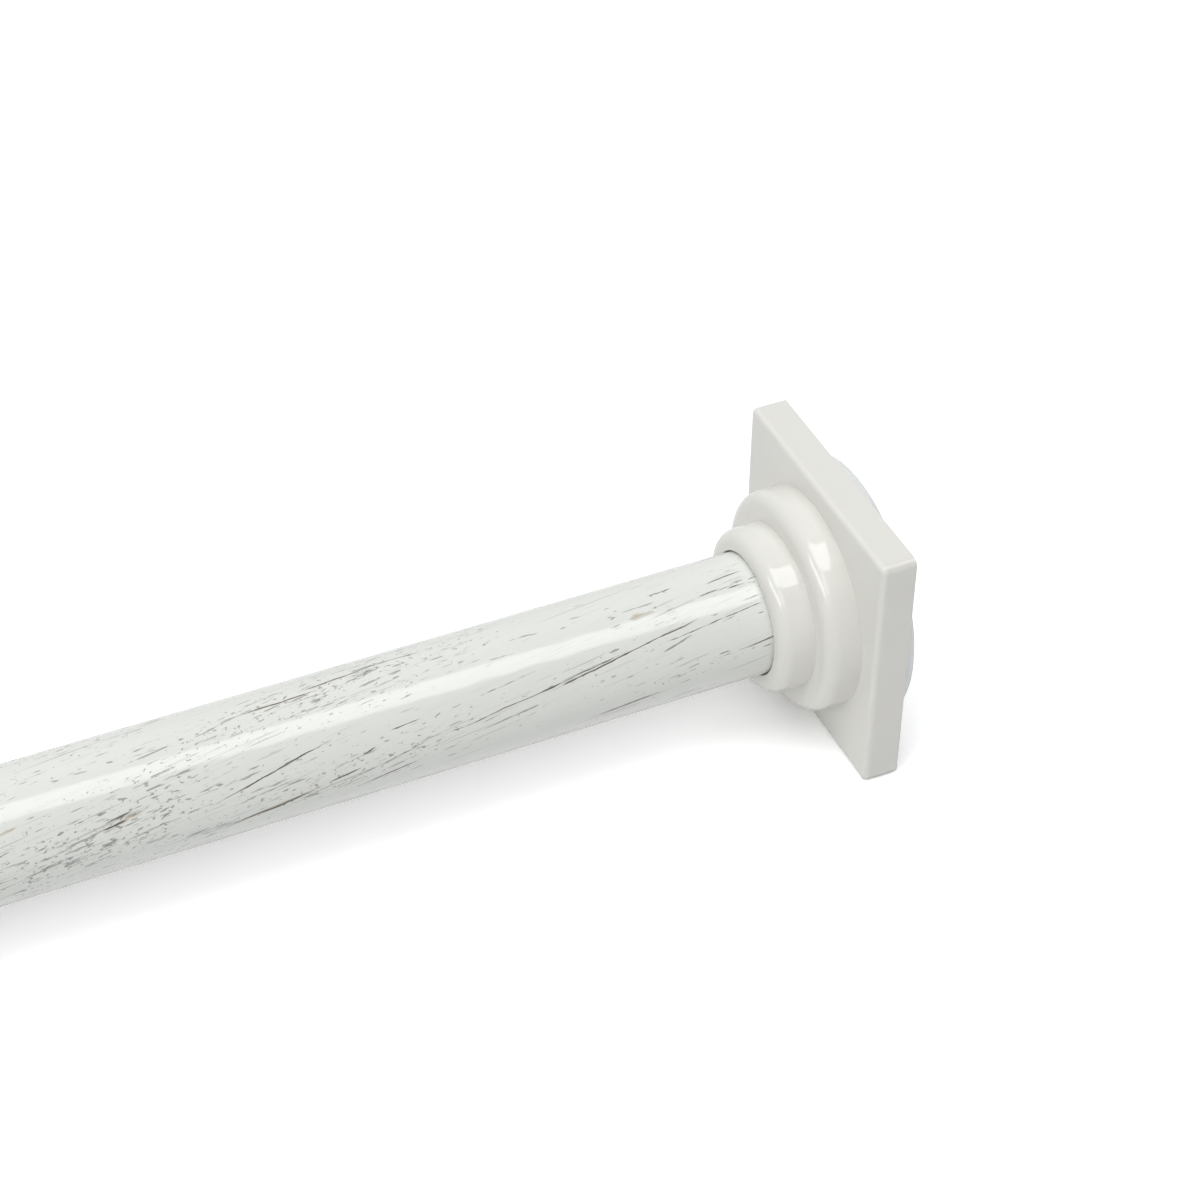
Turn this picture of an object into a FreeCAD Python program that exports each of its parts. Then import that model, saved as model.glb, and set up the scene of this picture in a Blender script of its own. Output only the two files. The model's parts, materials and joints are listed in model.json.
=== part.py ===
import FreeCAD, Part
import math
import os

# Spring tension rod: two telescoping steel tubes between two square stepped wall flanges.
# Twisting the inner tube draws a cone nut into a split collar, which grips the outer tube.
# A compression spring behind the collar then pushes the inner tube against the far wall.
#
# Lengths are millimetres. Every piece is built along +X, counted as a depth from the wall
# at the outer tube's end, with +Z up and the rod's axis on X. The last step turns the rod
# round, so that the wall at the outer tube's end lies at the origin and faces +X.

# Overall lengths
shortest_length = 610.0
travel = 305.0
bare_inner_length = 60.0

# Tubes
outer_tube_radius = 12.7
outer_tube_wall = 0.7
space_between_tubes = 0.9
inner_tube_wall = 0.7

# Clearances
running_clearance = 0.06
guide_clearance = 0.08
push_in_clearance = 0.05
flange_bore_clearance = 0.25
free_clearance = 0.3
end_play = 0.1

# Wall flange
plate_thickness = 7.4
plate_margin = 4.85
plate_corner_radius = 1.5
plate_edge_round = 1.1
large_ring_width = 5.95
large_ring_depth = 7.0
large_ring_round = 2.8
small_ring_width = 4.25
small_ring_depth = 7.2
small_ring_round = 2.8
ring_draft = 0.3
bore_mouth_chamfer = 0.2
flange_wall = 2.2
bore_floor_thickness = 2.5
rib_thickness = 1.4
rib_count = 4

# Wall pad
pad_thickness = 2.2
pad_inset = 0.6
pad_edge_chamfer = 0.6
pad_spigot_radius = 12.6
pad_spigot_wall = 2.0
pad_spigot_length = 1.6
pad_seat_clearance = 0.2

# Swivel screw and washer
screw_radius = 2.0
screw_length = 12.0
screw_point_length = 2.0
screw_head_radius = 3.8
screw_head_height = 2.4
screw_head_chamfer = 0.9
screw_drive_width = 0.9
screw_drive_span = 4.4
screw_drive_depth = 1.3
washer_radius = 7.5
washer_thickness = 1.0
screw_recess_radius = 9.5
screw_head_space = 1.0

# End plug
spigot_radius = 4.5
plug_rim_thickness = 1.0
plug_rim_inset = 0.2
plug_length = 14.0
plug_wall = 1.6
plug_face_thickness = 2.5
plug_boss_radius = 4.2
plug_web_thickness = 1.4
plug_web_count = 4

# Mouth collar
mouth_sleeve_length = 25.0
mouth_rim_thickness = 2.2
mouth_rim_height = 0.6
mouth_rim_chamfer = 0.6

# Cone nut
nut_length = 15.0
nut_draw = 3.0
nut_proud_when_locked = 1.0
cone_half_angle = 12.0
cone_locked_gap = 0.06
nut_key_count = 2
nut_key_thickness = 1.6
nut_key_inset = 0.5

# Split collar
finger_wall = 2.2
slot_count = 4
slot_width = 2.2
slot_end_margin = 1.0
taper_run_out = 1.0
clip_space = 6.0
thrust_wall_thickness = 3.0
grip_groove_count = 3
grip_groove_width = 1.2
grip_groove_depth = 0.4
grip_groove_pitch = 3.0
drag_ring_width = 3.4
drag_ring_depth = 1.5
drag_ring_chamfer = 0.5
drag_ring_offset = 1.4

# Spindle
spindle_radius = 3.0
spindle_tip_proud = 1.5
spindle_chamfer = 0.7
spindle_shoulder_radius = 7.5
spindle_shoulder_length = 3.0
hex_flats = 7.0
clip_radius = 5.2
clip_thickness = 0.8
clip_groove_depth = 0.7
clip_mouth_width = 3.6
thrust_washer_radius = 8.0
tip_washer_radius = 7.0
lock_nut_flats = 10.0
lock_nut_thickness = 5.0
lock_nut_chamfer = 0.6
spindle_end_proud = 1.5

# Spring
spring_wire_radius = 1.0
spring_wire_sides = 8
spring_side_gap = 1.2
spring_pitch = 11.0
seat_washer_margin = 0.4

# Guide plug
guide_head_length = 4.0
guide_body_length = 14.0
guide_pilot_length = 4.0
guide_pilot_gap = 0.5
guide_chamfer = 0.8

# Radii that follow from the tubes
outer_tube_bore = outer_tube_radius - outer_tube_wall
inner_tube_radius = outer_tube_bore - space_between_tubes
inner_tube_bore = inner_tube_radius - inner_tube_wall
outer_flange_bore = outer_tube_radius + flange_bore_clearance
inner_flange_bore = inner_tube_radius + flange_bore_clearance
small_ring_radius = outer_flange_bore + small_ring_width
large_ring_radius = small_ring_radius + large_ring_width
plate_half_side = large_ring_radius + plate_margin
pad_radius = plate_half_side - pad_inset

# Depths at each end, counted from the wall
plate_back = pad_thickness
plate_front = plate_back + plate_thickness
large_ring_front = plate_front + large_ring_depth
small_ring_front = large_ring_front + small_ring_depth
pad_seat_floor = plate_back + pad_spigot_length + pad_seat_clearance
floor_back = pad_seat_floor + screw_head_space + screw_head_height + washer_thickness + end_play
floor_front = floor_back + bore_floor_thickness
washer_front = floor_back - end_play
washer_back = washer_front - washer_thickness
screw_head_back = washer_back - screw_head_height
plug_rim_back = floor_front + end_play
tube_end = plug_rim_back + plug_rim_thickness
plug_end = tube_end + plug_length
spigot_hole_radius = spigot_radius + running_clearance

# Depths of the outer tube's mouth and of the inner tube
mouth_rim_front = shortest_length - small_ring_front - bare_inner_length
outer_tube_mouth = mouth_rim_front - mouth_rim_thickness
mouth_sleeve_end = outer_tube_mouth - mouth_sleeve_length
inner_tube_end = shortest_length - tube_end
guide_head_front = mouth_sleeve_end - travel - free_clearance
guide_head_back = guide_head_front - guide_head_length
guide_end = guide_head_front + guide_body_length

# Depths of the twist lock, counted on from the outer end plug
spindle_start = plug_end + 5.0
nut_start = spindle_start + spindle_tip_proud
nut_end = nut_start + nut_length
collar_open_end = nut_start + nut_draw + nut_proud_when_locked
taper_end = nut_end + nut_draw + taper_run_out
thrust_wall_back = taper_end + clip_space
thrust_wall_front = thrust_wall_back + thrust_wall_thickness
thrust_washer_back = thrust_wall_front + end_play
shoulder_back = thrust_washer_back + washer_thickness
shoulder_front = shoulder_back + spindle_shoulder_length
spring_back = shoulder_front + washer_thickness
spring_front = guide_head_back - push_in_clearance
clip_front = thrust_wall_back - end_play
clip_back = clip_front - clip_thickness
tip_washer_back = guide_end + end_play
lock_nut_back = tip_washer_back + washer_thickness
lock_nut_front = lock_nut_back + lock_nut_thickness
spindle_end = lock_nut_front + spindle_end_proud

# Radii of the twist lock
collar_radius = outer_tube_bore - free_clearance
cone_slope = math.tan(math.radians(cone_half_angle))
cone_rest_gap = nut_draw * cone_slope + cone_locked_gap
nut_large_radius = (collar_radius - finger_wall - cone_rest_gap
                    + (collar_open_end - nut_start) * cone_slope)
drag_ring_radius = outer_tube_bore - running_clearance
drag_groove_radius = collar_radius - drag_ring_depth
guide_head_radius = outer_tube_bore - guide_clearance
spring_outer_radius = inner_tube_bore - spring_side_gap
spring_mean_radius = spring_outer_radius - spring_wire_radius
seat_washer_radius = spring_outer_radius + seat_washer_margin
hex_corner_radius = hex_flats / 2.0 / math.cos(math.pi / 6.0)
clip_groove_radius = spindle_radius - clip_groove_depth
overcut = 1.0


# Shape helpers

def vector(x, y, z):
    return FreeCAD.Vector(x, y, z)


def rounded_outline(corners):
    """Edges of a closed outline; each corner is (along, across, radius of its round)."""
    points = [vector(along, 0.0, across) for along, across, rounding in corners]
    runs = []
    for index, (along, across, rounding) in enumerate(corners):
        here = points[index]
        if rounding <= 0.0:
            runs.append((here, None, here))
            continue
        before = (points[index - 1] - here).normalize()
        after = (points[(index + 1) % len(points)] - here).normalize()
        half_angle = before.getAngle(after) / 2.0
        reach = rounding / math.tan(half_angle)
        bisector = (before + after).normalize()
        middle = here + bisector * (rounding / math.sin(half_angle) - rounding)
        runs.append((here + before * reach, middle, here + after * reach))
    edges = []
    for index, (start, middle, end) in enumerate(runs):
        if middle is not None:
            edges.append(Part.Arc(start, middle, end).toShape())
        following = runs[(index + 1) % len(runs)][0]
        if (following - end).Length > 1e-7:
            edges.append(Part.LineSegment(end, following).toShape())
    return edges


def turned(corners):
    """Solid of revolution about X; each corner is (depth, radius) or (depth, radius, round)."""
    full = [corner if len(corner) == 3 else corner + (0.0,) for corner in corners]
    face = Part.Face(Part.Wire(rounded_outline(full)))
    return face.revolve(vector(0, 0, 0), vector(1, 0, 0), 360)


def chamfered_disc(start, end, radius, start_chamfer, end_chamfer):
    """Cylinder along X with a chamfer of its own at each end."""
    return turned([
        (start, 0.0),
        (start, radius - start_chamfer),
        (start + start_chamfer, radius),
        (end - end_chamfer, radius),
        (end, radius - end_chamfer),
        (end, 0.0)])


def rod(start, end, radius):
    """Plain cylinder along X."""
    return Part.makeCylinder(radius, end - start, vector(start, 0, 0), vector(1, 0, 0))


def sleeve(start, end, outer_radius, inner_radius):
    """Plain hollow cylinder along X."""
    return rod(start, end, outer_radius).cut(rod(start - overcut, end + overcut, inner_radius))


def hexagon(start, end, flats):
    """Hexagonal bar along X, given across its flats."""
    corner_radius = flats / 2.0 / math.cos(math.pi / 6.0)
    corners = []
    for step in range(7):
        angle = math.radians(60 * step)
        corners.append(vector(start, corner_radius * math.cos(angle), corner_radius * math.sin(angle)))
    return Part.Face(Part.makePolygon(corners)).extrude(vector(end - start, 0, 0))


def square_bar(start, end, half_side, corner_radius):
    """Square bar along X with rounded corners."""
    corners = [(half_side, half_side, corner_radius), (-half_side, half_side, corner_radius),
               (-half_side, -half_side, corner_radius), (half_side, -half_side, corner_radius)]
    face = Part.Face(Part.Wire(rounded_outline(corners)))
    face.rotate(vector(0, 0, 0), vector(0, 0, 1), 90)
    face.translate(vector(start, 0, 0))
    return face.extrude(vector(end - start, 0, 0))


def spokes(start, end, reach, thickness, count, inner_radius=0.0):
    """Flat webs along X that stand out from the axis, evenly spaced, the first one upright."""
    webs = []
    for index in range(count):
        web = Part.makeBox(end - start, thickness, reach - inner_radius,
                           vector(start, -thickness / 2.0, inner_radius))
        web.rotate(vector(0, 0, 0), vector(1, 0, 0), 360.0 * index / count)
        webs.append(web)
    return Part.makeCompound(webs)


def front_edges(solid, depth):
    """Edges of the solid that lie wholly in the plane at this depth."""
    found = []
    for edge in solid.Edges:
        box = edge.BoundBox
        if abs(box.XMin - depth) < 1e-4 and abs(box.XMax - depth) < 1e-4:
            found.append(edge)
    return found


# Wall end: flange, pad, swivel screw, washer and tube plug, all with the wall at depth 0

def flange_outside():
    """Square plate with two stepped rings."""
    plate = square_bar(plate_back, plate_front, plate_half_side, plate_corner_radius)
    edge_round = min(plate_edge_round, 0.9 * plate_corner_radius)
    plate = plate.makeFillet(edge_round, front_edges(plate, plate_front))
    inside_plate = (plate_back + plate_front) / 2.0
    rings = turned([
        (inside_plate, 0.0),
        (inside_plate, large_ring_radius),
        (plate_front, large_ring_radius),
        (large_ring_front, large_ring_radius - ring_draft, large_ring_round),
        (large_ring_front, small_ring_radius),
        (small_ring_front, small_ring_radius - ring_draft, small_ring_round),
        (small_ring_front, 0.0)])
    return plate.fuse(rings).removeSplitter()


def flange_core(bore_radius):
    """Hollow of the moulding, open at the back, between the hub, the ribs and the side walls."""
    pocket_side = plate_half_side - flange_wall
    pocket = square_bar(plate_back - overcut, plate_front - flange_wall, pocket_side,
                        max(plate_corner_radius - flange_wall, 0.8))
    ring_pocket = rod(plate_back - overcut, large_ring_front - flange_wall,
                      large_ring_radius - flange_wall)
    hub = rod(plate_back - 2.0 * overcut, small_ring_front, bore_radius + flange_wall)
    ribs = spokes(plate_back - 2.0 * overcut, small_ring_front, 2.0 * plate_half_side,
                  rib_thickness, rib_count)
    return pocket.fuse(ring_pocket).cut(hub).cut(ribs)


def flange_bores(bore_radius):
    """Tube bore, spigot hole, screw recess and pad seat, as one turned tool."""
    seat_radius = pad_spigot_radius + push_in_clearance
    return turned([
        (plate_back - overcut, 0.0),
        (plate_back - overcut, seat_radius),
        (pad_seat_floor, seat_radius),
        (pad_seat_floor, screw_recess_radius),
        (floor_back, screw_recess_radius),
        (floor_back, spigot_hole_radius),
        (floor_front, spigot_hole_radius),
        (floor_front, bore_radius),
        (small_ring_front - bore_mouth_chamfer, bore_radius),
        (small_ring_front, bore_radius + bore_mouth_chamfer),
        (small_ring_front + overcut, bore_radius + bore_mouth_chamfer),
        (small_ring_front + overcut, 0.0)])


def wall_flange(bore_radius):
    hub_wall = max(bore_radius, pad_spigot_radius)
    return flange_outside().cut(flange_core(hub_wall)).cut(flange_bores(bore_radius))


def wall_pad():
    """Soft disc against the wall, with a ring at the back that plugs into the flange."""
    disc = chamfered_disc(0.0, pad_thickness, pad_radius, pad_edge_chamfer, pad_edge_chamfer)
    ring = sleeve(pad_thickness / 2.0, pad_thickness + pad_spigot_length,
                  pad_spigot_radius, pad_spigot_radius - pad_spigot_wall)
    return disc.fuse(ring).removeSplitter()


def swivel_screw():
    """Pan head screw with a cross recess."""
    tip = washer_back + screw_length
    body = turned([
        (screw_head_back, 0.0),
        (screw_head_back, screw_head_radius - screw_head_chamfer),
        (screw_head_back + screw_head_chamfer, screw_head_radius),
        (washer_back, screw_head_radius),
        (washer_back, screw_radius),
        (tip - screw_point_length, screw_radius),
        (tip, 0.0)])
    recess = spokes(screw_head_back - overcut, screw_head_back + screw_drive_depth,
                    screw_drive_span / 2.0, screw_drive_width, 4)
    return body.cut(recess)


def swivel_washer():
    return sleeve(washer_back, washer_front, washer_radius, screw_radius + running_clearance)


def end_plug(tube_radius, tube_bore):
    """Plug in the tube's end, with the spigot on which the flange turns."""
    body_radius = tube_bore - push_in_clearance
    plug = turned([
        (washer_front, 0.0),
        (washer_front, spigot_radius),
        (plug_rim_back, spigot_radius),
        (plug_rim_back, tube_radius - plug_rim_inset),
        (tube_end, tube_radius - plug_rim_inset),
        (tube_end, body_radius),
        (plug_end, body_radius),
        (plug_end, 0.0)])
    core = sleeve(tube_end + plug_face_thickness, plug_end + overcut,
                  body_radius - plug_wall, plug_boss_radius)
    webs = spokes(tube_end, plug_end + 2.0 * overcut, body_radius,
                  plug_web_thickness, plug_web_count)
    screw_hole = rod(washer_front - overcut, washer_back + screw_length + overcut,
                     screw_radius + push_in_clearance)
    return plug.cut(core.cut(webs)).cut(screw_hole)


# Tubes and mouth collar

def outer_tube():
    return sleeve(tube_end, outer_tube_mouth, outer_tube_radius, outer_tube_bore)


def inner_tube():
    return sleeve(guide_head_front, inner_tube_end, inner_tube_radius, inner_tube_bore)


def mouth_collar():
    """Thin sleeve in the outer tube's mouth, with a rim over the tube's cut edge."""
    slide_radius = inner_tube_radius + guide_clearance
    rim_radius = outer_tube_radius + mouth_rim_height
    return turned([
        (mouth_sleeve_end, slide_radius),
        (mouth_sleeve_end, outer_tube_bore - push_in_clearance),
        (outer_tube_mouth, outer_tube_bore - push_in_clearance),
        (outer_tube_mouth, rim_radius),
        (mouth_rim_front - mouth_rim_chamfer, rim_radius),
        (mouth_rim_front, rim_radius - mouth_rim_chamfer),
        (mouth_rim_front, slide_radius)])


# Twist lock

def cone_radius(depth):
    """Radius of the cone nut's flank at this depth, before it is drawn in."""
    return nut_large_radius - (depth - nut_start) * cone_slope


def cone_nut():
    """Tapered nut, kept from turning by keys that slide in the collar's slots."""
    cone = turned([
        (nut_start, 0.0),
        (nut_start, nut_large_radius),
        (nut_end, cone_radius(nut_end)),
        (nut_end, 0.0)])
    key_reach = collar_radius - nut_key_inset
    key_end = taper_end - slot_end_margin - nut_draw - free_clearance
    keys = spokes(nut_start, min(key_end, nut_end), key_reach, nut_key_thickness, nut_key_count,
                  spindle_radius + running_clearance)
    hole = rod(nut_start - overcut, nut_end + overcut, spindle_radius + running_clearance)
    return cone.fuse(keys).removeSplitter().cut(hole)


def split_collar():
    """Nylon collar whose slotted fingers the cone nut spreads against the outer tube."""
    drag_groove_back = taper_end + drag_ring_offset
    drag_groove_front = drag_groove_back + drag_ring_width + end_play
    bore_radius = cone_radius(taper_end) + cone_rest_gap
    collar = turned([
        (collar_open_end, cone_radius(collar_open_end) + cone_rest_gap),
        (collar_open_end, collar_radius),
        (drag_groove_back, collar_radius),
        (drag_groove_back, drag_groove_radius),
        (drag_groove_front, drag_groove_radius),
        (drag_groove_front, collar_radius),
        (thrust_wall_front, collar_radius),
        (thrust_wall_front, spindle_radius + running_clearance),
        (thrust_wall_back, spindle_radius + running_clearance),
        (thrust_wall_back, bore_radius),
        (taper_end, bore_radius)])
    slots = spokes(collar_open_end - overcut, taper_end - slot_end_margin, 2.0 * collar_radius,
                   slot_width, slot_count)
    collar = collar.cut(slots)
    for index in range(grip_groove_count):
        groove_start = collar_open_end + grip_groove_pitch * (index + 0.5)
        collar = collar.cut(sleeve(groove_start, groove_start + grip_groove_width,
                                   2.0 * collar_radius, collar_radius - grip_groove_depth))
    return collar


def drag_ring():
    """Rubber ring on the collar that drags on the outer tube and keeps the collar from turning."""
    start = taper_end + drag_ring_offset + end_play / 2.0
    end = start + drag_ring_width
    inner_radius = drag_groove_radius + push_in_clearance
    disc = chamfered_disc(start, end, drag_ring_radius, drag_ring_chamfer, drag_ring_chamfer)
    return disc.cut(rod(start - overcut, end + overcut, inner_radius))


def spindle():
    """Screw for the cone nut at one end, hexagonal bar for the guide plug at the other."""
    screw_end = turned([
        (spindle_start, 0.0),
        (spindle_start, spindle_radius - spindle_chamfer),
        (spindle_start + spindle_chamfer, spindle_radius),
        (clip_back - end_play / 2.0, spindle_radius),
        (clip_back - end_play / 2.0, clip_groove_radius),
        (clip_front + end_play / 2.0, clip_groove_radius),
        (clip_front + end_play / 2.0, spindle_radius),
        (shoulder_back, spindle_radius),
        (shoulder_back, spindle_shoulder_radius),
        (shoulder_front, spindle_shoulder_radius),
        (shoulder_front, 0.0)])
    bar = hexagon(shoulder_front, tip_washer_back, hex_flats)
    threaded_tip = turned([
        (tip_washer_back, 0.0),
        (tip_washer_back, spindle_radius),
        (spindle_end - spindle_chamfer, spindle_radius),
        (spindle_end, spindle_radius - spindle_chamfer),
        (spindle_end, 0.0)])
    return screw_end.fuse(bar).fuse(threaded_tip).removeSplitter()


def spindle_clip():
    """Open spring clip in the spindle's groove, behind the collar's thrust wall."""
    ring = sleeve(clip_back, clip_front, clip_radius, clip_groove_radius + push_in_clearance)
    mouth = Part.makeBox(clip_thickness + 2.0 * overcut, clip_mouth_width, 2.0 * clip_radius,
                         vector(clip_back - overcut, -clip_mouth_width / 2.0, 0.0))
    return ring.cut(mouth)


def thrust_washer():
    return sleeve(thrust_washer_back, shoulder_back, thrust_washer_radius,
                  spindle_radius + running_clearance)


def spring_seat():
    return sleeve(shoulder_front, spring_back, seat_washer_radius,
                  hex_corner_radius + push_in_clearance)


def tip_washer():
    return sleeve(tip_washer_back, lock_nut_back, tip_washer_radius,
                  spindle_radius + running_clearance)


def lock_nut():
    """Hexagonal nut with chamfered corners."""
    corner_radius = lock_nut_flats / 2.0 / math.cos(math.pi / 6.0)
    chamfer_radius = corner_radius - lock_nut_chamfer
    blank = hexagon(lock_nut_back, lock_nut_front, lock_nut_flats)
    turned_corners = turned([
        (lock_nut_back, 0.0),
        (lock_nut_back, corner_radius + overcut),
        (lock_nut_front - lock_nut_chamfer, corner_radius),
        (lock_nut_front, chamfer_radius),
        (lock_nut_front, 0.0)])
    hole = rod(lock_nut_back - overcut, lock_nut_front + overcut, spindle_radius + push_in_clearance)
    return blank.common(turned_corners).cut(hole)


def compression_spring():
    """Wire coil, ground flat at both ends; flats stand for the round of the wire."""
    length = spring_front - spring_back
    run_out = spring_wire_radius
    coil_length = length + 2.0 * run_out
    helix = Part.makeHelix(spring_pitch, coil_length, spring_mean_radius)
    corners = []
    for step in range(spring_wire_sides + 1):
        angle = 2.0 * math.pi * step / spring_wire_sides
        corners.append(vector(spring_mean_radius + spring_wire_radius * math.cos(angle), 0.0,
                              spring_wire_radius * math.sin(angle)))
    coil = Part.Wire(helix.Edges).makePipeShell([Part.makePolygon(corners)], True, True)
    coil.rotate(vector(0, 0, 0), vector(0, 1, 0), 90)
    coil.translate(vector(spring_back - run_out, 0, 0))
    return coil.common(rod(spring_back, spring_front, 2.0 * spring_mean_radius))


def guide_plug():
    """Plug in the inner tube's end that slides on the spindle's hexagonal bar."""
    pilot_radius = spring_mean_radius - spring_wire_radius - guide_pilot_gap
    body_radius = inner_tube_bore - push_in_clearance
    pilot_start = guide_head_back - guide_pilot_length
    pilot = chamfered_disc(pilot_start, guide_head_front, pilot_radius, guide_chamfer, 0.0)
    head = chamfered_disc(guide_head_back, guide_head_front, guide_head_radius, guide_chamfer, 0.0)
    body = pilot.fuse(head).fuse(rod(guide_head_front - overcut, guide_end, body_radius))
    hole = hexagon(guide_head_back - guide_pilot_length - overcut, guide_end + overcut,
                   hex_flats + 2.0 * running_clearance)
    return body.removeSplitter().cut(hole)


# Assembly

def at_inner_end(shape):
    """Turns a wall end round and moves it to the wall at the inner tube's end."""
    shape.rotate(vector(0, 0, 0), vector(0, 0, 1), 180)
    shape.translate(vector(shortest_length, 0, 0))
    return shape


pieces = {
    "outer_tube": outer_tube(),
    "outer_end_plug": end_plug(outer_tube_radius, outer_tube_bore),
    "mouth_collar": mouth_collar(),
    "outer_swivel_screw": swivel_screw(),
    "outer_swivel_washer": swivel_washer(),
    "outer_flange": wall_flange(outer_flange_bore),
    "outer_wall_pad": wall_pad(),
    "split_collar": split_collar(),
    "drag_ring": drag_ring(),
    "cone_nut": cone_nut(),
    "spindle": spindle(),
    "spindle_clip": spindle_clip(),
    "thrust_washer": thrust_washer(),
    "spring_seat": spring_seat(),
    "tip_washer": tip_washer(),
    "lock_nut": lock_nut(),
    "compression_spring": compression_spring(),
    "guide_plug": guide_plug(),
    "inner_tube": inner_tube(),
    "inner_end_plug": at_inner_end(end_plug(inner_tube_radius, inner_tube_bore)),
    "inner_swivel_screw": at_inner_end(swivel_screw()),
    "inner_swivel_washer": at_inner_end(swivel_washer()),
    "inner_flange": at_inner_end(wall_flange(inner_flange_bore)),
    "inner_wall_pad": at_inner_end(wall_pad()),
}

os.makedirs("parts", exist_ok=True)
for name, shape in pieces.items():
    shape.rotate(vector(0, 0, 0), vector(0, 0, 1), 180)
    shape.exportStep("parts/" + name + ".step")
    print(name, "solids", len(shape.Solids), "valid", shape.isValid(), "volume", round(shape.Volume, 2))
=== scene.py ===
from functools import reduce
import json
import math

import bmesh
import bpy
from mathutils import Matrix, Quaternion, Vector


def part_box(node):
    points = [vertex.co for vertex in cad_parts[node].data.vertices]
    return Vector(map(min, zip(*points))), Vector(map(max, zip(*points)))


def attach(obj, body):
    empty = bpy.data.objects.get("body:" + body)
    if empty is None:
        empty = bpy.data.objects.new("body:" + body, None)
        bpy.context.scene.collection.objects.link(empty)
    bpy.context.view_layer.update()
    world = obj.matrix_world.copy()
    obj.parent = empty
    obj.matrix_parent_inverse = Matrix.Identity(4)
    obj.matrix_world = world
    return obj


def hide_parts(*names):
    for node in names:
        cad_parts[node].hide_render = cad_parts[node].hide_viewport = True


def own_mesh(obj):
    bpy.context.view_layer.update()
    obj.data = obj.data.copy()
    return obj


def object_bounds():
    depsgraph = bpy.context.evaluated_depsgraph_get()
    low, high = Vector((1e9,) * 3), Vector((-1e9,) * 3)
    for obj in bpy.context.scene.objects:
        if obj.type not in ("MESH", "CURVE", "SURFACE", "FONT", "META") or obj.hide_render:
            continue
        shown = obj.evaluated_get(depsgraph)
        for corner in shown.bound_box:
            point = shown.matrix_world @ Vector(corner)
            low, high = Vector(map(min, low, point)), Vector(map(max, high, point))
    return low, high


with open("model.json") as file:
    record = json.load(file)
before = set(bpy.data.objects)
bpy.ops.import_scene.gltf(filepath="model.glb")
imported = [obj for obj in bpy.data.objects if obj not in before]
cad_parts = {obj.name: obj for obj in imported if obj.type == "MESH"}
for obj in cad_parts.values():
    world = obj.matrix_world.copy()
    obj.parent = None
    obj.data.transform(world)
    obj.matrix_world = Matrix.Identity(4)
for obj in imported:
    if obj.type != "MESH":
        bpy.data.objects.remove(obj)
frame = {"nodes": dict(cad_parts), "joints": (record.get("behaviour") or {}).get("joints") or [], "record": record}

bl_info = {
    "name": "Spring Tension Rod",
    "version": (1, 0, 0),
    "blender": (4, 5, 0),
    "location": "View3D > Sidebar > Tension Rod",
    "description": "Finishes, fine pieces and stage for a spring tension rod",
    "category": "Object",
}

millimetre = 0.001
cad_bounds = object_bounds()

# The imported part's plain materials make way for the finishes below, which take their names.
for plain in bpy.data.materials:
    plain.name = "plain_" + plain.name


# Sizes read from the frame

def span_along(node):
    """Lowest and highest place of a node along the rod's axis, in metres."""
    low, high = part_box(node)
    return low.x, high.x


def outer_radius(node):
    """Radius of a round node about the rod's axis, in metres."""
    low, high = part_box(node)
    return max(high.y, high.z, -low.y, -low.z)


painted_radius = outer_radius("outer_tube")
floor_level = min(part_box("outer_flange")[0].z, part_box("inner_flange")[0].z)
rod_middle = (cad_bounds[0].x + cad_bounds[1].x) / 2.0
plate_back = span_along("outer_flange")[1]


# Marks on the outer tube's front. A row has one end's millimetres along the rod and degrees
# round it from the top towards the front, the same for the other end, and the half width in
# millimetres.

deep_cracks = (
    (-161.3, 66.2, -155.3, 61.3, 0.22),
    (-160.5, 61.4, -154.3, 56.4, 0.15),
    (-155.3, 60.9, -151.0, 57.5, 0.09),
    (-140.5, 74.0, -114.5, 47.0, 0.16),
    (-138.5, 102.5, -118.0, 86.0, 0.22),
    (-117.8, 85.5, -110.3, 79.5, 0.16),
    (-112.6, 102.0, -98.0, 88.8, 0.16),
    (-110.3, 69.0, -107.0, 65.0, 0.17),
    (-104.4, 54.6, -96.8, 51.4, 0.14),
    (-130.0, 1.5, -114.0, -1.5, 0.16),
    (-118.0, -4.8, -101.0, -12.0, 0.15),
    (-104.0, -12.3, -92.0, -11.3, 0.11),
    (-108.3, -5.0, -100.2, -5.5, 0.11),
    (-94.5, 73.5, -66.0, 57.0, 0.11),
    (-75.0, 62.0, -53.5, 47.8, 0.13),
    (-71.5, 62.8, -49.5, 46.6, 0.18),
    (-53.5, 50.0, -38.0, 37.3, 0.15),
    (-48.0, 51.0, -30.0, 42.3, 0.09),
    (-34.5, 45.0, -23.0, 39.6, 0.11),
    (-63.5, 104.0, -46.5, 96.3, 0.15),
    (-45.9, 3.2, -40.2, 0.8, 0.15),
    (-37.0, 19.0, -31.5, 17.8, 0.16),
    (-34.0, 9.0, -25.5, 4.3, 0.17),
    (-30.3, 19.4, -26.1, 18.9, 0.12),
    (-29.5, 77.3, -22.5, 73.3, 0.17),
    (-26.4, 48.6, -24.3, 48.9, 0.13),
    (-26.3, 80.7, -23.9, 79.6, 0.10),
)
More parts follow.
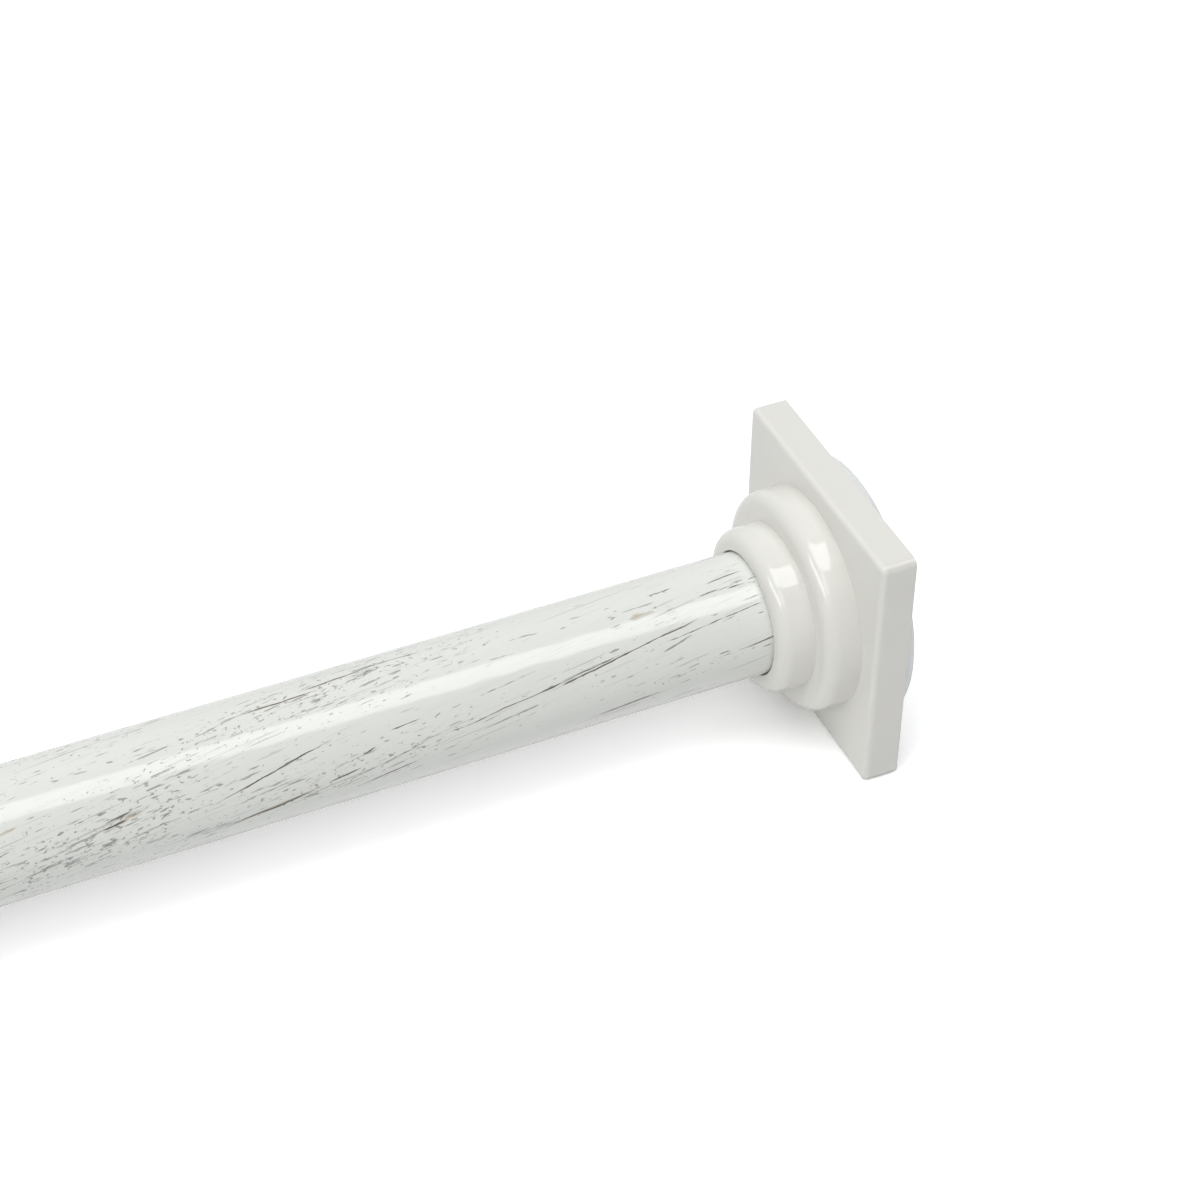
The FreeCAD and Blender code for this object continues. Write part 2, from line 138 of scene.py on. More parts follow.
faint_cracks = (
    (-167.4, 78.5, -162.3, 74.4, 0.13),
    (-165.6, 97.4, -160.8, 93.5, 0.18),
    (-153.8, 18.1, -144.3, 12.2, 0.17),
    (-152.8, 12.0, -144.3, 12.1, 0.13),
    (-149.7, 58.8, -143.5, 56.5, 0.12),
    (-146.8, 112.2, -144.9, 109.7, 0.14),
    (-142.5, 108.6, -139.3, 106.2, 0.16),
    (-129.3, -7.2, -120.5, -8.2, 0.12),
    (-116.0, 17.8, -110.9, 16.0, 0.13),
    (-115.4, 90.5, -96.5, 74.0, 0.15),
    (-91.3, 50.8, -88.4, 50.1, 0.14),
    (-86.8, 80.0, -71.5, 68.7, 0.13),
    (-86.0, 48.5, -72.5, 41.5, 0.12),
    (-82.2, 19.8, -75.6, 20.9, 0.12),
    (-76.3, 7.6, -68.6, 7.3, 0.13),
    (-62.7, 3.0, -59.7, 3.5, 0.12),
    (-60.5, -13.2, -58.0, -11.2, 0.12),
    (-56.4, 23.5, -53.2, 23.0, 0.12),
    (-55.8, 71.5, -53.6, 70.3, 0.14),
    (-55.7, 3.9, -53.6, 3.3, 0.16),
    (-52.5, 12.9, -44.8, 11.3, 0.14),
    (-49.2, -14.7, -42.1, -17.6, 0.10),
    (-47.5, 58.0, -40.4, 49.4, 0.26),
    (-47.2, 84.6, -43.4, 82.6, 0.13),
    (-36.5, 78.3, -27.5, 76.0, 0.12),
    (-35.4, 74.1, -32.6, 74.9, 0.13),
    (-34.1, 47.8, -30.5, 45.2, 0.11),
    (-29.6, 33.4, -23.5, 32.2, 0.11),
    (-26.1, 18.9, -23.7, 20.7, 0.12),
)
flecks = (
    (-177.9, 75.5, -175.1, 72.3, 0.18),
    (-178.0, 105.0, -176.0, 105.6, 0.24),
    (-173.0, 67.6, -171.3, 66.5, 0.24),
    (-172.3, 60.0, -171.0, 61.8, 0.26),
    (-169.2, 59.2, -167.8, 57.3, 0.40),
    (-167.5, 13.2, -165.7, 14.3, 0.26),
    (-165.2, 53.9, -163.4, 54.0, 0.20),
    (-163.0, 13.3, -159.9, 13.4, 0.24),
    (-161.1, 52.9, -159.3, 52.3, 0.34),
    (-157.3, 43.0, -154.5, 46.6, 0.26),
    (-156.6, 10.4, -154.8, 11.4, 0.30),
    (-151.3, 52.4, -148.8, 51.9, 0.28),
    (-150.0, 64.8, -147.7, 63.6, 0.18),
    (-149.7, 71.3, -148.2, 68.6, 0.32),
    (-147.9, 50.6, -144.8, 53.0, 0.26),
    (-144.7, 60.6, -143.0, 61.2, 0.26),
    (-143.8, 44.4, -141.7, 44.9, 0.20),
    (-138.8, 56.4, -137.0, 57.1, 0.30),
    (-119.3, 11.8, -118.0, 10.9, 0.26),
    (-116.2, 9.0, -114.8, 7.8, 0.24),
    (-109.8, 49.6, -108.1, 48.7, 0.22),
    (-105.5, 63.6, -104.3, 62.4, 0.26),
    (-104.9, 17.7, -103.2, 18.7, 0.22),
    (-100.5, 76.3, -99.2, 75.0, 0.26),
    (-100.2, 10.3, -98.6, 10.2, 0.20),
    (-97.7, 57.9, -96.6, 57.2, 0.24),
    (-95.9, 67.9, -95.0, 67.2, 0.26),
    (-94.8, 54.9, -93.4, 51.2, 0.22),
    (-90.2, 55.9, -89.0, 55.0, 0.30),
    (-88.2, 66.6, -87.2, 65.4, 0.28),
    (-87.9, 55.9, -86.5, 54.8, 0.22),
    (-87.4, 13.5, -85.2, 14.1, 0.26),
    (-65.3, 11.1, -63.6, 11.1, 0.24),
    (-63.3, 69.3, -62.1, 68.4, 0.24),
    (-61.0, 66.8, -59.6, 66.6, 0.26),
    (-58.9, 65.3, -57.4, 65.0, 0.26),
    (-57.9, 44.9, -55.2, 44.1, 0.20),
    (-55.9, 3.6, -54.5, 2.9, 0.22),
    (-55.6, 13.9, -54.4, 14.0, 0.16),
    (-55.5, 62.7, -54.0, 62.2, 0.16),
    (-55.2, 16.7, -53.8, 15.8, 0.26),
    (-54.1, 10.0, -52.8, 9.2, 0.18),
    (-52.8, 40.7, -51.6, 40.3, 0.18),
    (-50.3, 67.3, -48.0, 67.0, 0.14),
    (-45.8, 3.6, -44.6, 3.3, 0.30),
    (-42.9, 3.4, -41.9, 2.5, 0.18),
    (-35.8, 38.8, -33.6, 38.4, 0.15),
    (-29.4, 15.8, -26.0, 15.2, 0.24),
)
tan_smudges = (
    (-179.5, 45.3, -175.1, 41.7, 0.45),
    (-159.0, 64.0, -152.0, 59.0, 0.45),
    (-130.5, 95.5, -123.5, 89.7, 0.50),
    (-52.0, 21.6, -45.0, 21.0, 0.90),
    (-46.5, 43.0, -38.5, 39.4, 0.28),
    (-43.9, 19.8, -42.0, 20.4, 0.40),
    (-40.0, 19.5, -36.4, 19.3, 0.36),
)

# Limits of the marks, in millimetres along the tube and round it, and the least gap in a lane.
marks_span = (-190.0, -15.0)
marks_arc = (-8.0, 32.0)
lane_gap = 2.0

# A mark's middle line runs on past both ends, where its half width fades below 0. The offset
# keeps the width's curve above 0.
mark_lead = 0.9
mark_fade = 0.7
faded_width = -0.4
width_offset = 0.5

# Where the placed marks give way to the even wear, along the tube, above and below.
front_start = (-190.0, -180.0)
front_above = (-8.0, -5.0)
front_below = (25.0, 28.0)

# Where the even wear grows, in metres from the wall, and fades, in millimetres round the tube.
wear_grows = (0.06, 0.13)
wear_fades = (17.0, 24.0)


# Settings that a user would change

class RodSizes(bpy.types.PropertyGroup):
    tube_wall: bpy.props.FloatProperty(
        name="Tube Wall", description="Thickness of the steel tubes' walls",
        default=0.7 * millimetre, unit="LENGTH")
    tube_facets: bpy.props.IntProperty(
        name="Tube Facets", description="Facets around each tube", default=160, min=24)
    cut_edge_round: bpy.props.FloatProperty(
        name="Cut Edge", description="Rounding of the tubes' cut edges",
        default=0.12 * millimetre, unit="LENGTH")
    pad_edge_round: bpy.props.FloatProperty(
        name="Pad Edge", description="Rounding of the wall pads' rims",
        default=0.9 * millimetre, unit="LENGTH")
    pad_groove_count: bpy.props.IntProperty(
        name="Pad Grooves", description="Shallow rings moulded in the pad's wall face",
        default=4, min=0)
    pad_groove_depth: bpy.props.FloatProperty(
        name="Groove Depth", description="Depth of the rings in the pad's wall face",
        default=0.25 * millimetre, unit="LENGTH")
    pad_spigot_radius: bpy.props.FloatProperty(
        name="Pad Spigot", description="Radius of the ring that plugs the pad into its flange",
        default=12.6 * millimetre, unit="LENGTH")
    pad_spigot_wall: bpy.props.FloatProperty(
        name="Pad Spigot Wall", description="Wall of the ring that plugs the pad into its flange",
        default=2.0 * millimetre, unit="LENGTH")
    spring_wire_radius: bpy.props.FloatProperty(
        name="Spring Wire", description="Radius of the spring's round wire",
        default=1.0 * millimetre, unit="LENGTH")
    spring_pitch: bpy.props.FloatProperty(
        name="Spring Pitch", description="Distance between the relaxed spring's turns",
        default=11.0 * millimetre, unit="LENGTH")
    spindle_radius: bpy.props.FloatProperty(
        name="Spindle", description="Radius of the spindle's threads",
        default=3.0 * millimetre, unit="LENGTH")
    spindle_flats: bpy.props.FloatProperty(
        name="Spindle Flats", description="Width across the flats of the spindle's hexagonal bar",
        default=7.0 * millimetre, unit="LENGTH")
    spindle_chamfer: bpy.props.FloatProperty(
        name="Spindle Chamfer", description="Chamfer at both ends of the spindle",
        default=0.7 * millimetre, unit="LENGTH")
    screw_pitch: bpy.props.FloatProperty(
        name="Screw Pitch", description="Pitch of the coarse thread that draws the cone nut",
        default=3.0 * millimetre, unit="LENGTH")
    screw_depth: bpy.props.FloatProperty(
        name="Screw Depth", description="Depth of the coarse thread",
        default=0.6 * millimetre, unit="LENGTH")
    tip_pitch: bpy.props.FloatProperty(
        name="Tip Pitch", description="Pitch of the fine thread under the lock nut",
        default=1.0 * millimetre, unit="LENGTH")
    tip_depth: bpy.props.FloatProperty(
        name="Tip Depth", description="Depth of the fine thread",
        default=0.4 * millimetre, unit="LENGTH")


class RodFinish(bpy.types.PropertyGroup):
    paint: bpy.props.FloatVectorProperty(
        name="Paint", description="Off-white paint of the tubes",
        default=(0.75, 0.765, 0.73), subtype="COLOR", size=3)
    crack: bpy.props.FloatVectorProperty(
        name="Crack", description="Dark tone inside the worn cracks",
        default=(0.105, 0.09, 0.075), subtype="COLOR", size=3)
    fleck: bpy.props.FloatVectorProperty(
        name="Fleck", description="Grey tone of the worn flecks and faint cracks",
        default=(0.2, 0.205, 0.19), subtype="COLOR", size=3)
    tan: bpy.props.FloatVectorProperty(
        name="Tan", description="Warm tone of the smudges and the deeper cracks' rims",
        default=(0.42, 0.34, 0.23), subtype="COLOR", size=3)
    grain_slant: bpy.props.FloatProperty(
        name="Grain Slant", description="Angle between the worn grain and the tube's axis",
        default=math.radians(7.5), subtype="ANGLE")
    flange: bpy.props.FloatVectorProperty(
        name="Flange", description="Warm off-white of the moulded flanges",
        default=(0.75, 0.745, 0.705), subtype="COLOR", size=3)
    silicone: bpy.props.FloatVectorProperty(
        name="Silicone", description="Pale blue of the translucent wall pads",
        default=(0.93, 0.955, 0.97), subtype="COLOR", size=3)


class StageSettings(bpy.types.PropertyGroup):
    floor: bpy.props.FloatVectorProperty(
        name="Floor", description="Tone with which the floor lights the rod from below",
        default=(0.92, 0.92, 0.93), subtype="COLOR", size=3)
    floor_seen: bpy.props.FloatVectorProperty(
        name="Floor Seen", description="Tone of the floor in the picture, white but for the shadow",
        default=(1.32, 1.32, 1.33), subtype="COLOR", size=3)
    fill_light: bpy.props.FloatProperty(
        name="Fill Light", description="Strength of the even light from all round",
        default=0.08, min=0.0)
    key_light: bpy.props.FloatProperty(
        name="Key Light", description="Brightness of the soft box overhead",
        default=3.75, min=0.0)
    side_light: bpy.props.FloatProperty(
        name="Side Light", description="Brightness of the strip lamp that faces the flange",
        default=5.0, min=0.0)
    back_light: bpy.props.FloatProperty(
        name="Back Light", description="Brightness of the soft box behind the rod",
        default=1.95, min=0.0)
    front_light: bpy.props.FloatProperty(
        name="Front Light", description="Brightness of the soft box before the rod",
        default=2.1, min=0.0)
    lens: bpy.props.FloatProperty(
        name="Lens", description="Focal length for a 36 mm wide picture, in millimetres", default=96.0)
    azimuth: bpy.props.FloatProperty(
        name="Azimuth", description="Turn of the camera about the upright axis",
        default=math.radians(-25.16), subtype="ANGLE")
    elevation: bpy.props.FloatProperty(
        name="Elevation", description="Height of the camera above the horizon",
        default=math.radians(41.08), subtype="ANGLE")
    roll: bpy.props.FloatProperty(
        name="Roll", description="Lean of the camera about its own line of sight",
        default=math.radians(0.88), subtype="ANGLE")
    distance: bpy.props.FloatProperty(
        name="Distance", description="From the camera to the plane of the outer flange's back",
        default=0.6464, unit="LENGTH")
    aim_right: bpy.props.FloatProperty(
        name="Aim Right", description="Picture centre to the right of the outer flange's centre",
        default=-0.0485, unit="LENGTH")
    aim_up: bpy.props.FloatProperty(
        name="Aim Up", description="Picture centre above the outer flange's centre",
        default=-0.0031, unit="LENGTH")


# Node trees written as plain arithmetic

class Value:
    """A number that varies over a surface, usable in ordinary arithmetic."""

    def __init__(self, graph, socket):
        self.graph = graph
        self.socket = socket

    def joined(self, operation, first, second):
        node = self.graph.add("ShaderNodeMath", {0: first, 1: second}, operation=operation)
        return Value(self.graph, node.outputs[0])

    def __add__(self, other):
        return self.joined("ADD", self, other)

    __radd__ = __add__

    def __sub__(self, other):
        return self.joined("SUBTRACT", self, other)

    def __rsub__(self, other):
        return self.joined("SUBTRACT", other, self)

    def __mul__(self, other):
        return self.joined("MULTIPLY", self, other)

    __rmul__ = __mul__

    def __truediv__(self, other):
        return self.joined("DIVIDE", self, other)

    def __abs__(self):
        return self.joined("ABSOLUTE", self, 0.0)

    def highest(self, other):
        return self.joined("MAXIMUM", self, other)

    def lowest(self, other):
        return self.joined("MINIMUM", self, other)


class Graph:
    """Adds nodes to a shader or geometry tree."""

    def __init__(self, tree):
        self.tree = tree

    def add(self, kind, inputs=None, **settings):
        """New node: its settings are set first, then its inputs are filled or linked."""
        node = self.tree.nodes.new(kind)
        for name, setting in settings.items():
            setattr(node, name, setting)
        self.fill(node, inputs or {})
        return node

    def fill(self, node, inputs):
        """Sets a node's inputs, or links them to a value, a socket or a node's first output."""
        for key, given in inputs.items():
            source = given.socket if isinstance(given, Value) else given
            if isinstance(source, bpy.types.Node):
                source = source.outputs[0]
            if isinstance(source, bpy.types.NodeSocket):
                self.tree.links.new(source, node.inputs[key])
            else:
                node.inputs[key].default_value = source

    def parts(self, vector):
        """The three numbers of a vector."""
        node = self.add("ShaderNodeSeparateXYZ", {0: vector})
        return [Value(self, output) for output in node.outputs]

    def scaled(self, vector, x, y, z):
        return self.add("ShaderNodeVectorMath", {0: vector, 1: (x, y, z)}, operation="MULTIPLY")

    def moved(self, vector, offset):
        return self.add("ShaderNodeVectorMath", {0: vector, 1: offset}, operation="ADD")

    def step(self, value, low, high):
        """Rises smoothly from 0 to 1 as the value goes from low to high."""
        node = self.add("ShaderNodeMapRange", {"Value": value, "From Min": low, "From Max": high},
                        interpolation_type="SMOOTHSTEP")
        return Value(self, node.outputs["Result"])

    def noise(self, vector, scale, detail=2.0, roughness=0.5):
        """Even noise, with its scale in cycles per metre."""
        node = self.add("ShaderNodeTexNoise", {
            "Vector": vector, "Scale": scale, "Detail": detail, "Roughness": roughness})
        return Value(self, node.outputs["Fac"])

    def drawn_noise(self, vector, along, across, detail=2.0, roughness=0.5):
        """Noise with these cycles per metre along X and across it."""
        return self.noise(self.scaled(vector, along, across, across), 1.0, detail, roughness)

    def curve(self, value, points):
        """Reads a value from 0 to 1 off straight lines between points of (value, result)."""
        node = self.add("ShaderNodeFloatCurve", {"Value": value})
        line = node.mapping.curves[0]
        line.points[0].location = points[0]
        line.points[-1].location = points[-1]
        for place, height in points[1:-1]:
            line.points.new(place, height)
        for point in line.points:
            point.handle_type = "VECTOR"
        node.mapping.update()
        return Value(self, node.outputs[0])

    def mixed(self, share, first, second):
        """Colour between first and second."""
        node = self.add("ShaderNodeMix", {"Factor": share, 6: first, 7: second}, data_type="RGBA")
        return node.outputs[2]


def opaque(colour):
    """Colour with full alpha."""
    return (colour[0], colour[1], colour[2], 1.0)


def shaded(colour, share):
    """Darker tone of a colour, with full alpha."""
    return opaque([tone * share for tone in colour])


def new_material(name):
    """Graph and shader of a new material, and the place on its object, in metres."""
    material = bpy.data.materials.new(name)
    material.use_nodes = True
    material.node_tree.nodes.clear()
    graph = Graph(material.node_tree)
    shader = graph.add("ShaderNodeBsdfPrincipled")
    graph.add("ShaderNodeOutputMaterial", {"Surface": shader})
    return graph, shader, graph.add("ShaderNodeTexCoord").outputs["Object"]


def dress(graph, shader, colour, roughness, height, depth):
    """Links a colour, a roughness and a bump height to the shader."""
    bump = graph.add("ShaderNodeBump", {"Height": height, "Distance": depth, "Strength": 1.0})
    graph.fill(shader, {"Base Color": colour, "Roughness": roughness, "Normal": bump})


# Materials

# Reach of the widest sliver across its cell.
sliver_reach = 0.42
speck_brown = (0.2, 0.17, 0.13)
rubber_black = (0.022, 0.022, 0.022)
rubber_bloom = (0.07, 0.068, 0.065)


def slivers(graph, grain, length, width, share, ragged, seed):
    """Separate slivers along the grain: how far inside one a point is, its tone and its warmth."""
    place = graph.moved(graph.scaled(grain, 1.0 / length, 1.0 / width, 1.0 / width), (seed, 0.0, 0.0))
    wander = graph.add("ShaderNodeTexNoise", {"Vector": place, "Scale": 4.0, "Detail": 3.0})
    offset = graph.scaled(graph.moved(wander.outputs["Color"], (-0.5, -0.5, -0.5)),
                          ragged, ragged, ragged)
    cells = graph.add("ShaderNodeTexVoronoi", {
        "Vector": graph.moved(place, offset), "Scale": 1.0, "Randomness": 1.0})
    own = graph.parts(cells.outputs["Color"])
    reach = graph.step(own[0], 1.0 - share, 1.0) * sliver_reach
    return reach - Value(graph, cells.outputs["Distance"]), own[1], own[2]


def arc_length(degrees):
    """Millimetres round the outer tube."""
    return math.radians(degrees) * painted_radius / millimetre


def lanes_of(marks):
    """The marks shared out in lanes, so that no two of a lane meet along the tube."""
    lanes = []
    for mark in sorted(marks):
        for lane in lanes:
            last_end = lane[-1][2]
            if last_end + lane_gap < mark[0]:
                lane.append(mark)
                break
        else:
            lanes.append([mark])
    return lanes


def mark_depth(graph, x, arc, marks):
    """How far inside the nearest of these marks a place is, in millimetres; below 0 outside."""
    low, high = marks_span
    arc_low, arc_high = marks_arc
    along = (x - low) * (1.0 / (high - low))
    deepest = None
    for lane in lanes_of(marks):
        middles = []
        widths = []
        for start, start_turn, end, end_turn, half_width in lane:
            quarter = (end - start) / 4.0
            first, last = arc_length(start_turn), arc_length(end_turn)
            middles += [(start - mark_lead, first), (start, first),
                        (end, last), (end + mark_lead, last)]
            widths += [(start - mark_fade, faded_width), (start, 0.0),
                       (start + quarter, half_width), (end - quarter, half_width),
                       (end, 0.0), (end + mark_fade, faded_width)]
        middle_line = [((place - low) / (high - low), (height - arc_low) / (arc_high - arc_low))
                       for place, height in middles]
        width_line = [((place - low) / (high - low), width + width_offset)
                      for place, width in widths]
        middle = graph.curve(along, middle_line)
        width = graph.curve(along, width_line)
        depth = width - width_offset - abs(arc - arc_low - middle * (arc_high - arc_low))
        deepest = depth if deepest is None else deepest.highest(depth)
    return deepest


def distressed_paint(finish):
    """Glossy off-white paint with wood-like cracks, flecks and streaks that run slightly askew."""
    graph, shader, place = new_material("distressed_paint")
    along, side, height = graph.parts(place)
    slant = along * (math.tan(finish.grain_slant) / painted_radius)
    grain = graph.add("ShaderNodeVectorRotate", {"Vector": place, "Angle": slant},
                      rotation_type="X_AXIS")

    wobble = graph.drawn_noise(grain, 90.0, 300.0) - 0.5
    ragged = graph.drawn_noise(grain, 500.0, 2600.0) - 0.5
    x = along * (1.0 / millimetre)
    turn = side.joined("ARCTAN2", side * -1.0, height)
    arc = turn * (painted_radius / millimetre) + wobble * 1.2
    front = graph.step(x, *front_start) * graph.step(arc, *front_above)
    front = front * (1.0 - graph.step(arc, *front_below))
    deep_edge = mark_depth(graph, x, arc, deep_cracks) + ragged * 0.3
    faint_edge = mark_depth(graph, x, arc, faint_cracks) + ragged * 0.5
    fleck_edge = mark_depth(graph, x, arc, flecks) + ragged * 0.9
    smudge_edge = mark_depth(graph, x, arc, tan_smudges) + ragged * 1.2

    long_edge, long_tone, long_warmth = slivers(
        graph, grain, length=0.046, width=0.00075, share=0.22, ragged=0.35, seed=3.0)
    mid_edge, mid_tone = slivers(
        graph, grain, length=0.014, width=0.0006, share=0.20, ragged=0.4, seed=17.0)[:2]
    long_cracks = graph.step(long_edge, 0.0, 0.12) * (long_tone * 0.6 + 0.4) * (1.0 - front)
    mid_cracks = graph.step(mid_edge, 0.0, 0.16) * (mid_tone * 0.7 + 0.2) * (1.0 - front * 0.6)
    worn = graph.step(deep_edge, -0.03, 0.1).highest(long_cracks).highest(mid_cracks)
    worn_faint = graph.step(faint_edge, -0.03, 0.14).highest(graph.step(fleck_edge, 0.0, 0.16))

    wear = graph.drawn_noise(grain, 16.0, 70.0)
    wear = wear + graph.step(along * -1.0, *wear_grows) * 0.10 - graph.step(arc, *wear_fades) * 0.12
    blots = graph.drawn_noise(grain, 800.0, 1500.0, 3.0, 0.6)
    dashes = graph.drawn_noise(grain, 170.0, 2100.0, 3.0, 0.6)
    lines = graph.drawn_noise(grain, 40.0, 2300.0)
    blots = graph.step(blots + wear * 0.4, 0.855, 0.93)
    dashes = graph.step(dashes + wear * 0.35, 0.82, 0.89)
    lines = graph.step(lines + wear * 0.15, 0.73, 0.81)
    streaks = graph.drawn_noise(grain, 30.0, 1500.0, 4.0, 0.6)
    cloud = graph.drawn_noise(grain, 12.0, 60.0)
    smudges = graph.step(smudge_edge, -0.1, 0.5) * graph.step(streaks, 0.4, 0.58)

    paint = graph.mixed(graph.step(streaks, 0.52, 0.75) * 0.15, opaque(finish.paint),
                        shaded(finish.paint, 0.72))
    paint = graph.mixed(graph.step(cloud, 0.35, 0.7) * 0.1, paint, shaded(finish.paint, 0.86))
    for share in (lines * 0.4, blots * 0.7, dashes * 0.75):
        paint = graph.mixed(share, paint, opaque(finish.fleck))
    paint = graph.mixed(smudges * 0.8, paint, opaque(finish.tan))
    halo = graph.step(long_edge, -0.22, 0.05) * graph.step(long_warmth, 0.55, 0.9) * (1.0 - front)
    halo = halo.highest(graph.step(deep_edge, -0.25, 0.05) * graph.step(cloud, 0.45, 0.6))
    paint = graph.mixed(halo * 0.3, paint, opaque(finish.tan))
    paint = graph.mixed(worn_faint * 0.75, paint, opaque(finish.fleck))
    paint = graph.mixed(worn, paint, opaque(finish.crack))

    pits = worn.highest(worn_faint * 0.5).highest(dashes * 0.5).highest(blots * 0.4)
    swell = graph.drawn_noise(grain, 220.0, 420.0)
    roughness = 0.1 + pits * 0.38 + streaks * 0.03
    relief = swell * 1.8 + streaks * 0.16 - pits
    dress(graph, shader, paint, roughness, relief, 0.03 * millimetre)


def flange_plastic(finish):
    """Glossy warm off-white moulding with faint flow marks and tiny specks."""
    graph, shader, place = new_material("flange_plastic")
    flow = graph.noise(place, 60.0, 3.0)
    peel = graph.noise(place, 900.0, 2.0)
    cells = graph.add("ShaderNodeTexVoronoi", {"Vector": place, "Scale": 260.0})
    luck = graph.parts(cells.outputs["Color"])[0]
    reach = graph.step(luck, 0.93, 1.0) * 0.09
    speck = graph.step(reach - Value(graph, cells.outputs["Distance"]), 0.0, 0.02)
    colour = graph.mixed(flow * 0.25, opaque(finish.flange), shaded(finish.flange, 0.93))
    colour = graph.mixed(speck * 0.6, colour, opaque(speck_brown))
    roughness = 0.05 + flow * 0.04 + speck * 0.3
    dress(graph, shader, colour, roughness, peel + flow * 2.0, 0.006 * millimetre)


def clear_silicone(finish):
    """Soft translucent silicone with faint haze."""
    graph, shader, place = new_material("clear_silicone")
    haze = graph.noise(place, 180.0, 3.0)
    dust = graph.noise(place, 2600.0, 2.0)
    colour = graph.mixed(haze * 0.4, opaque(finish.silicone), shaded(finish.silicone, 0.92))
    dress(graph, shader, colour, 0.3 + haze * 0.12 + dust * 0.06, dust, 0.01 * millimetre)
    graph.fill(shader, {"Transmission Weight": 0.1, "IOR": 1.41, "Alpha": 0.65})


def moulded_plastic(name, tone, base_roughness):
    """Satin moulded nylon or acetal with fine grain."""
    graph, shader, place = new_material(name)
    cloud = graph.noise(place, 140.0, 2.0)
    grain = graph.noise(place, 3200.0, 2.0)
    colour = graph.mixed(cloud * 0.5, opaque(tone), shaded(tone, 0.86))
    roughness = base_roughness + cloud * 0.1 + grain * 0.08
    dress(graph, shader, colour, roughness, grain, 0.012 * millimetre)


def black_rubber():
    """Matt rubber with a dusty bloom."""
    graph, shader, place = new_material("black_rubber")
    bloom = graph.noise(place, 420.0, 4.0)
    grain = graph.noise(place, 4200.0, 2.0)
    dusty = graph.step(bloom, 0.45, 0.75) * 0.5
    colour = graph.mixed(dusty, opaque(rubber_black), opaque(rubber_bloom))
    dress(graph, shader, colour, 0.62 + bloom * 0.2, grain, 0.03 * millimetre)


def drawn_steel(name, tone, base_roughness, scratch):
    """Steel with fine turning marks about the rod's axis."""
    graph, shader, place = new_material(name)
    marks = graph.drawn_noise(place, scratch, 220.0, 3.0, 0.6)
    stains = graph.noise(place, 320.0, 3.0)
    colour = graph.mixed(stains * 0.5, opaque(tone), shaded(tone, 0.8))
    dress(graph, shader, colour, base_roughness + marks * 0.16, marks, 0.008 * millimetre)
    graph.fill(shader, {"Metallic": 1.0})


def finish_of(slot):
    """Material of a record slot, made when it is first asked for."""
    finish = bpy.context.scene.rod_finish
    makers = {
        "distressed_paint": lambda: distressed_paint(finish),
        "flange_plastic": lambda: flange_plastic(finish),
        "clear_silicone": lambda: clear_silicone(finish),
        "white_nylon": lambda: moulded_plastic("white_nylon", (0.74, 0.74, 0.70), 0.36),
        "black_nylon": lambda: moulded_plastic("black_nylon", (0.035, 0.035, 0.038), 0.42),
        "acetal": lambda: moulded_plastic("acetal", (0.60, 0.58, 0.52), 0.3),
        "black_rubber": black_rubber,
        "zinc_steel": lambda: drawn_steel("zinc_steel", (0.62, 0.63, 0.65), 0.2, 2400.0),
        "spring_steel": lambda: drawn_steel("spring_steel", (0.36, 0.36, 0.37), 0.26, 1500.0),
    }
    if slot not in bpy.data.materials:
        makers[slot]()
    return bpy.data.materials[slot]


# Meshes

crease_angle = math.radians(32.0)
edge_steps = 3
bore_rings = 40
outside_rings = 80
pad_edge_steps = 6
pad_facets = 144
spindle_facets = 96
bar_rings = 24
rings_per_thread = 14
spring_steps = 48
wire_facets = 20


def placed(name, data):
    """New object in the scene."""
    thing = bpy.data.objects.new(name, data)
    bpy.context.scene.collection.objects.link(thing)
    return thing


def finished_piece(name, vertices, faces, slot):
    """Object at the origin with smooth faces that point outwards, and sharp creases."""
    mesh = bpy.data.meshes.new(name)
    mesh.from_pydata(vertices, [], faces)
    mesh.validate()
    shell = bmesh.new()
    shell.from_mesh(mesh)
    bmesh.ops.recalc_face_normals(shell, faces=shell.faces)
    shell.to_mesh(mesh)
    shell.free()
    mesh.shade_smooth()
    mesh.set_sharp_from_angle(angle=crease_angle)
    mesh.materials.append(finish_of(slot))
    piece = placed(name, mesh)
    return piece


def seat(piece, body, *nodes):
    """Lets the piece ride on its body in place of its nodes."""
    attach(piece, body)
    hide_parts(*nodes)


def skin(stations, facets, closed_loop):
    """Vertices and faces of a skin over rings about X; a station is (place, radius at an angle)."""
    vertices = []
    for place, radius_at in stations:
        for index in range(facets):
            angle = 2.0 * math.pi * index / facets
            radius = radius_at(angle)
            vertices.append((place, radius * math.cos(angle), radius * math.sin(angle)))
    faces = []
    count = len(stations)
    for ring in range(count if closed_loop else count - 1):
        near, far = ring * facets, (ring + 1) % count * facets
        for index in range(facets):
            beside = (index + 1) % facets
            faces.append((near + index, near + beside, far + beside, far + index))
    if not closed_loop:
        faces.append(tuple(reversed(range(facets))))
        faces.append(tuple((count - 1) * facets + index for index in range(facets)))
    return vertices, faces


def round_ring(radius):
    """Section of a round piece."""
    return lambda angle: radius


def spaced(start, end, pieces):
    """Evenly spaced numbers, both ends among them."""
    return [start + (end - start) * step / pieces for step in range(pieces + 1)]


def arc_points(centre_place, centre_radius, size, start, end, steps):
    """Points of an arc in the plane of place and radius, as (place, radius)."""
    return [(centre_place + size * math.cos(angle), centre_radius + size * math.sin(angle))
            for angle in spaced(start, end, steps)]


